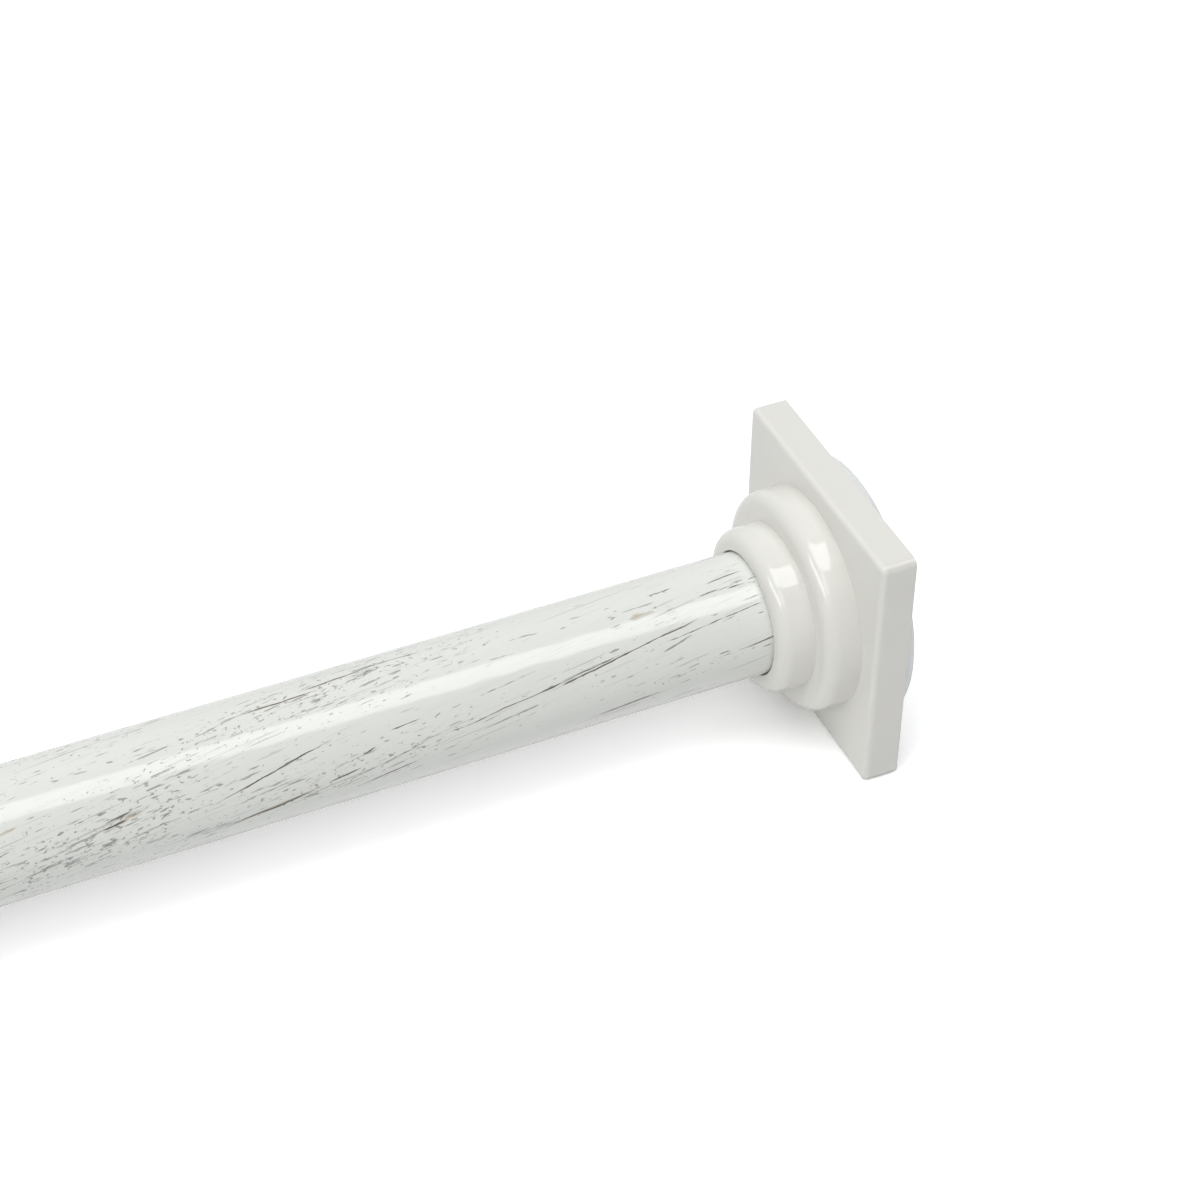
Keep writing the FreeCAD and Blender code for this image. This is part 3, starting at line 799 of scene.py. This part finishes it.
def tube_outline(low, high, radius, wall, edge):
    """Closed outline of a tube's wall, counted so that its faces point outwards."""
    quarter = math.pi / 2.0
    bore = radius - wall
    outline = [(place, bore) for place in spaced(low + edge, high - edge, bore_rings)]
    outline += arc_points(high - edge, bore + edge, edge, -quarter, 0.0, edge_steps)[1:]
    outline += arc_points(high - edge, radius - edge, edge, 0.0, quarter, edge_steps)
    outline += [(place, radius) for place in spaced(high - edge, low + edge, outside_rings)[1:]]
    outline += arc_points(low + edge, radius - edge, edge, quarter, 2.0 * quarter, edge_steps)[1:]
    outline += arc_points(low + edge, bore + edge, edge, 2.0 * quarter, 3.0 * quarter, edge_steps)[:-1]
    return outline


class BuildTubes(bpy.types.Operator):
    """Build both painted steel tubes"""
    bl_idname = "tension_rod.tubes"
    bl_label = "Tubes"

    def execute(self, context):
        sizes = context.scene.rod_sizes
        for node in ("outer_tube", "inner_tube"):
            low, high = span_along(node)
            outline = tube_outline(low, high, outer_radius(node), sizes.tube_wall, sizes.cut_edge_round)
            stations = [(place, round_ring(radius)) for place, radius in outline]
            vertices, faces = skin(stations, sizes.tube_facets, True)
            piece = finished_piece("painted_" + node, vertices, faces, "distressed_paint")
            seat(piece, node, node)
        return {"FINISHED"}


class BuildFlanges(bpy.types.Operator):
    """Finish both moulded flanges"""
    bl_idname = "tension_rod.flanges"
    bl_label = "Flanges"

    def execute(self, context):
        for node in ("outer_flange", "inner_flange"):
            finish_node(node)
        return {"FINISHED"}


def pad_outline(wall_face, flange_face, radius, sizes):
    """Outline of a pad from its wall face's grooves round its rim to its flange face."""
    outward = 1.0 if wall_face > flange_face else -1.0
    edge = sizes.pad_edge_round
    outline = []
    spigot, grooves = sizes.pad_spigot_radius, sizes.pad_groove_count
    groove_floor = wall_face - outward * sizes.pad_groove_depth
    half_width = (radius - edge - spigot) / (grooves + 1) * 0.3
    half_floor = half_width * 0.5
    for middle in spaced(spigot, radius - edge, grooves + 1)[1:-1]:
        outline += [(wall_face, middle - half_width), (groove_floor, middle - half_floor),
                    (groove_floor, middle + half_floor), (wall_face, middle + half_width)]
    angles = spaced(0.0, math.pi / 2.0, pad_edge_steps)
    outline += [(wall_face - outward * edge * (1.0 - math.cos(angle)),
                 radius - edge + edge * math.sin(angle)) for angle in angles]
    back_edge = min(edge, abs(wall_face - flange_face) - edge)
    outline += [(flange_face + outward * back_edge * (1.0 - math.sin(angle)),
                 radius - back_edge * (1.0 - math.cos(angle))) for angle in angles]
    return outline


class BuildPads(bpy.types.Operator):
    """Build both translucent wall pads"""
    bl_idname = "tension_rod.pads"
    bl_label = "Wall Pads"

    def execute(self, context):
        sizes = context.scene.rod_sizes
        for end in ("outer", "inner"):
            pad_node = end + "_wall_pad"
            flange_span = span_along(end + "_flange")
            pad_span = span_along(pad_node)
            wall_face, spigot_end = (pad_span[1], pad_span[0]) if end == "outer" else pad_span
            flange_face = flange_span[1] if end == "outer" else flange_span[0]
            outline = pad_outline(wall_face, flange_face, outer_radius(pad_node), sizes)
            spigot = sizes.pad_spigot_radius
            bore = spigot - sizes.pad_spigot_wall
            outline += [(flange_face, spigot), (spigot_end, spigot), (spigot_end, bore),
                        (flange_face, bore)]
            stations = [(place, round_ring(radius)) for place, radius in outline]
            vertices, faces = skin(stations, pad_facets, False)
            piece = finished_piece("silicone_" + pad_node, vertices, faces, "clear_silicone")
            seat(piece, end + "_flange", pad_node)
        return {"FINISHED"}


def finish_node(node):
    """Gives a carried-over node the material of its record slot."""
    slot = next(part["material_slot"] for part in frame["record"]["subparts"] if part["node"] == node)
    materials = frame["nodes"][node].data.materials
    materials.clear()
    materials.append(finish_of(slot))


def screw_thread(start, end, radius, pitch, depth):
    """Stations of a screw thread that fades out at both ends; start may be above or below end."""
    run_out = 0.6 * pitch
    groove_share, flank_share = 0.72, 0.4
    count = max(2, round(abs(end - start) / (pitch / rings_per_thread)))
    stations = []
    for place in spaced(start, end, count):
        fade = min(1.0, min(abs(place - start), abs(place - end)) / run_out)

        def radius_at(angle, place=place, cut=depth * fade):
            phase = (place / pitch + angle / (2.0 * math.pi)) % 1.0
            groove = (groove_share - abs(2.0 * phase - 1.0)) / flank_share
            return radius - cut * min(1.0, max(0.0, groove))

        stations.append((place, radius_at))
    return stations


def hexagonal_ring(flats, corner_radius):
    """Section of a hexagonal bar with a corner on the Y axis and its corners turned down."""
    sixth = math.pi / 3.0

    def radius_at(angle):
        return min(corner_radius, flats / 2.0 / math.cos(angle % sixth - sixth / 2.0))

    return radius_at


class BuildSpindle(bpy.types.Operator):
    """Cut the spindle's threads, clip groove, shoulder and hexagonal bar"""
    bl_idname = "tension_rod.spindle"
    bl_label = "Spindle"

    def execute(self, context):
        sizes = context.scene.rod_sizes
        tip, head = span_along("spindle")
        groove_low, groove_high = span_along("spindle_clip")
        shoulder_high = span_along("thrust_washer")[0]
        shoulder_low = span_along("spring_seat")[1]
        bar_end = span_along("tip_washer")[1]
        play = 0.05 * millimetre
        radius, chamfer = sizes.spindle_radius, sizes.spindle_chamfer
        shoulder, edge = outer_radius("spindle"), 0.3 * millimetre
        corner_share = 0.56
        bar = hexagonal_ring(sizes.spindle_flats, corner_share * sizes.spindle_flats)
        plain, chamfered = round_ring(radius), round_ring(radius - chamfer)
        stations = [(head, chamfered)]
        stations += screw_thread(head - chamfer, groove_high + radius, radius, sizes.screw_pitch,
                                 sizes.screw_depth)
        wide, rounded = round_ring(shoulder), round_ring(shoulder - edge)
        stations += [(groove_high + play, plain), (groove_high + play, chamfered),
                     (groove_low - play, chamfered), (groove_low - play, plain),
                     (shoulder_high, plain), (shoulder_high, rounded),
                     (shoulder_high - edge, wide), (shoulder_low + edge, wide),
                     (shoulder_low, rounded)]
        stations += [(place, bar) for place in spaced(shoulder_low, bar_end, bar_rings)]
        stations += screw_thread(bar_end, tip + chamfer, radius, sizes.tip_pitch, sizes.tip_depth)
        stations += [(tip, chamfered)]
        vertices, faces = skin(stations, spindle_facets, False)
        piece = finished_piece("cut_spindle", vertices, faces, "zinc_steel")
        seat(piece, "spindle", "spindle")
        return {"FINISHED"}


def spring_tree():
    """Round wire wound about X, with a closed turn at each end that is ground flat."""
    tree = bpy.data.node_groups.new("ground_spring", "GeometryNodeTree")
    sockets = {}
    for name in ("Mean Radius", "Wire Radius", "Open Turns", "Start", "End", "Material"):
        kind = "NodeSocketMaterial" if name == "Material" else "NodeSocketFloat"
        sockets[name] = tree.interface.new_socket(name, in_out="INPUT", socket_type=kind).identifier
    tree.interface.new_socket("Geometry", in_out="OUTPUT", socket_type="NodeSocketGeometry")
    graph = Graph(tree)
    given = graph.add("NodeGroupInput").outputs
    mean, wire, open_turns, start, end = [Value(graph, given[index]) for index in range(5)]
    turns = open_turns + 2.0
    spiral = graph.add("GeometryNodeCurveSpiral", {
        "Resolution": spring_steps, "Rotations": turns, "Start Radius": mean, "End Radius": mean,
        "Height": turns})
    x, y, turn = graph.parts(graph.add("GeometryNodeInputPosition"))
    closed = turn.lowest(1.0) + (turn - open_turns - 1.0).highest(0.0)
    opened = (turn - 1.0).highest(0.0).lowest(open_turns)
    tight = wire * 2.0
    rise = closed * tight + opened * ((end - start - tight * 2.0) / open_turns)
    path = graph.add("ShaderNodeCombineXYZ", {"X": x, "Y": y, "Z": rise + start})
    drawn_out = graph.add("GeometryNodeSetPosition", {"Geometry": spiral, "Position": path})
    section = graph.add("GeometryNodeCurvePrimitiveCircle", {
        "Resolution": wire_facets, "Radius": wire}, mode="RADIUS")
    wound = graph.add("GeometryNodeCurveToMesh", {
        "Curve": drawn_out, "Profile Curve": section, "Fill Caps": True})
    laid = graph.add("GeometryNodeTransform", {
        "Geometry": wound, "Rotation": (0.0, math.pi / 2.0, 0.0)})
    x, y, z = graph.parts(graph.add("GeometryNodeInputPosition"))
    ground = graph.add("ShaderNodeCombineXYZ", {"X": x.highest(start).lowest(end), "Y": y, "Z": z})
    flat = graph.add("GeometryNodeSetPosition", {"Geometry": laid, "Position": ground})
    smooth = graph.add("GeometryNodeSetShadeSmooth", {"Geometry": flat})
    realized = graph.add("GeometryNodeRealizeInstances", {"Geometry": smooth})
    painted = graph.add("GeometryNodeSetMaterial", {"Geometry": realized, "Material": given[5]})
    graph.add("NodeGroupOutput", {0: painted})
    return tree, sockets


def grown(name, tree, sockets, values):
    """Plain mesh that a geometry tree makes with these named values."""
    seed = placed(name + "_seed", bpy.data.meshes.new(name + "_seed"))
    modifier = seed.modifiers.new("growth", "NODES")
    modifier.node_group = tree
    for label, value in values.items():
        modifier[sockets[label]] = value
    evaluated = seed.evaluated_get(bpy.context.evaluated_depsgraph_get())
    mesh = bpy.data.meshes.new_from_object(evaluated)
    bpy.data.objects.remove(seed)
    mesh.name = name
    return placed(name, mesh)


class BuildSpring(bpy.types.Operator):
    """Wind the compression spring"""
    bl_idname = "tension_rod.spring"
    bl_label = "Spring"

    def execute(self, context):
        sizes = context.scene.rod_sizes
        low, high = span_along("compression_spring")
        tree, sockets = spring_tree()
        piece = grown("wound_spring", tree, sockets, {
            "Mean Radius": outer_radius("compression_spring") - sizes.spring_wire_radius,
            "Wire Radius": sizes.spring_wire_radius,
            "Open Turns": float(round((high - low) / sizes.spring_pitch)),
            "Start": low,
            "End": high,
            "Material": finish_of("spring_steel")})
        seat(piece, "spindle", "compression_spring")
        stroke = next(joint for joint in frame["joints"] if joint["name"] == "spring_stroke")
        room = high - low
        (room - stroke["range_m"][1]) / room
        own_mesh(piece)
        return {"FINISHED"}


class FinishFittings(bpy.types.Operator):
    """Finish the plugs, collars, screws and washers"""
    bl_idname = "tension_rod.fittings"
    bl_label = "Fittings"

    def execute(self, context):
        for node, piece in frame["nodes"].items():
            if not piece.hide_render and "flange" not in node:
                finish_node(node)
        return {"FINISHED"}


# Stage

white = (1.0, 1.0, 1.0, 1.0)
floor_reach = 3.0
# Squares of the distances in metres from the rod's middle between which the floor turns white.
white_from = (0.4, 1.0)
lamp_aim = Vector((-0.09, 0.0, 0.0))
sensor_width = 36.0


def seen_by(graph, *rays):
    """1 for rays of these kinds, such as the camera's own, and 0 for the scene's light."""
    path = graph.add("ShaderNodeLightPath").outputs
    return reduce(Value.highest, [Value(graph, path["Is %s Ray" % kind]) for kind in rays])


def lit_or_seen(graph, lit, seen):
    """Shader that lights the scene as one and looks, mirrored too, like the other."""
    share = seen_by(graph, "Camera", "Glossy", "Transmission")
    return graph.add("ShaderNodeMixShader", {0: share, 1: lit, 2: seen})


def stage_floor(settings):
    """Large pale floor that is white to the camera and keeps the rod's shadow."""
    corners = [(x * floor_reach, y * floor_reach, floor_level)
               for x, y in ((-1, -1), (1, -1), (1, 1), (-1, 1))]
    mesh = bpy.data.meshes.new("studio_floor")
    mesh.from_pydata(corners, [], [(0, 1, 2, 3)])
    floor = placed("studio_floor", mesh)
    graph, shader, place = new_material("floor_sweep")
    graph.fill(shader, {
        "Base Color": opaque(settings.floor), "Roughness": 0.9, "Specular IOR Level": 0.0})
    tone = graph.mixed(seen_by(graph, "Glossy"), opaque(settings.floor_seen), white)
    near = graph.add("ShaderNodeBsdfDiffuse", {"Color": tone})
    far = graph.add("ShaderNodeEmission", {"Color": white, "Strength": 1.0})
    x, y = graph.parts(place)[:2]
    along = x - rod_middle
    away = graph.step(along * along + y * y, *white_from)
    seen = graph.add("ShaderNodeMixShader", {0: away, 1: near, 2: far})
    output = next(node for node in graph.tree.nodes if node.type == "OUTPUT_MATERIAL")
    graph.fill(output, {"Surface": lit_or_seen(graph, shader, seen)})
    mesh.materials.append(bpy.data.materials["floor_sweep"])


def stage_world(settings):
    """Even light from all round, white where it is seen."""
    world = bpy.data.worlds.new("studio_world")
    bpy.context.scene.world = world
    world.use_nodes = True
    world.node_tree.nodes.clear()
    graph = Graph(world.node_tree)
    fill = graph.add("ShaderNodeBackground", {"Color": white, "Strength": settings.fill_light})
    seen = graph.add("ShaderNodeBackground", {"Color": white, "Strength": 1.0})
    graph.add("ShaderNodeOutputWorld", {"Surface": lit_or_seen(graph, fill, seen)})


def soft_box(name, direction, brightness, distance, width, height, turn=0.0):
    """Rectangular lamp that faces the rod from a direction, turned about that line."""
    data = bpy.data.lights.new(name, "AREA")
    data.shape = "RECTANGLE"
    data.size = width
    data.size_y = height
    data.energy = brightness * width * height * math.pi
    lamp = placed(name, data)
    toward = Vector(direction).normalized()
    lamp.location = lamp_aim + toward * distance
    turned = toward.to_track_quat("Z", "Y") @ Quaternion((0.0, 0.0, 1.0), turn)
    lamp.rotation_euler = turned.to_euler()
    return lamp


def stage_camera(settings):
    """Camera above and before the rod, looking at the outer flange."""
    turn, rise = settings.azimuth, settings.elevation
    back = Vector((math.sin(turn) * math.cos(rise), -math.cos(turn) * math.cos(rise), math.sin(rise)))
    right = Vector((math.cos(turn), math.sin(turn), 0.0))
    up = back.cross(right)
    lean_cos, lean_sin = math.cos(settings.roll), math.sin(settings.roll)
    right, up = lean_cos * right + lean_sin * up, lean_cos * up - lean_sin * right
    data = bpy.data.cameras.new("studio_camera")
    data.lens = settings.lens
    data.sensor_width = sensor_width
    data.clip_start = 0.01
    data.clip_end = 20.0
    camera = placed("studio_camera", data)
    centre = Vector((plate_back, 0.0, 0.0))
    place = centre + right * settings.aim_right + up * settings.aim_up + back * settings.distance
    turned = Matrix((right, up, back)).transposed().to_4x4()
    camera.matrix_world = Matrix.Translation(place) @ turned
    bpy.context.scene.camera = camera


class SetStage(bpy.types.Operator):
    """Set the floor, the lights and the camera"""
    bl_idname = "tension_rod.stage"
    bl_label = "Stage"

    def execute(self, context):
        settings = context.scene.rod_stage
        context.scene.view_settings.view_transform = "Standard"
        stage_floor(settings)
        stage_world(settings)
        soft_box("key_box", (0.03, -0.21, 0.98), settings.key_light,
                 distance=1.2, width=1.2, height=0.6, turn=math.radians(-15.0))
        soft_box("side_box", (-0.79, -0.29, 0.54), settings.side_light,
                 distance=1.25, width=1.0, height=0.35)
        back_box = soft_box("back_box", (0.1, 0.7, 0.7), settings.back_light,
                            distance=1.4, width=1.6, height=0.8)
        # Mirrored in the gloss, this box would draw a second band along the tube's top.
        back_box.visible_glossy = False
        soft_box("front_box", (-0.25, -0.64, 0.73), settings.front_light,
                 distance=1.3, width=0.6, height=0.5)
        stage_camera(settings)
        return {"FINISHED"}


class RodPanel(bpy.types.Panel):
    """Lists the rod's settings and pieces"""
    bl_idname = "VIEW3D_PT_tension_rod"
    bl_label = "Tension Rod"
    bl_space_type = "VIEW_3D"
    bl_region_type = "UI"
    bl_category = "Tension Rod"

    def draw(self, context):
        for settings in (context.scene.rod_sizes, context.scene.rod_finish, context.scene.rod_stage):
            box = self.layout.box()
            for name in settings.__annotations__:
                box.prop(settings, name)
        for operator in operators:
            self.layout.operator(operator.bl_idname)


operators = (BuildTubes, BuildFlanges, BuildPads, BuildSpindle, BuildSpring, FinishFittings, SetStage)
setting_groups = {"rod_sizes": RodSizes, "rod_finish": RodFinish, "rod_stage": StageSettings}


def register():
    for name, group in setting_groups.items():
        bpy.utils.register_class(group)
        setattr(bpy.types.Scene, name, bpy.props.PointerProperty(type=group))
    for kind in operators + (RodPanel,):
        bpy.utils.register_class(kind)


def unregister():
    for kind in reversed(operators + (RodPanel,)):
        bpy.utils.unregister_class(kind)
    for name, group in reversed(setting_groups.items()):
        delattr(bpy.types.Scene, name)
        bpy.utils.unregister_class(group)


def main():
    register()
    bpy.ops.tension_rod.tubes()
    bpy.ops.tension_rod.flanges()
    bpy.ops.tension_rod.pads()
    bpy.ops.tension_rod.spindle()
    bpy.ops.tension_rod.spring()
    bpy.ops.tension_rod.fittings()
    bpy.ops.tension_rod.stage()


if __name__ == "__main__":
    main()
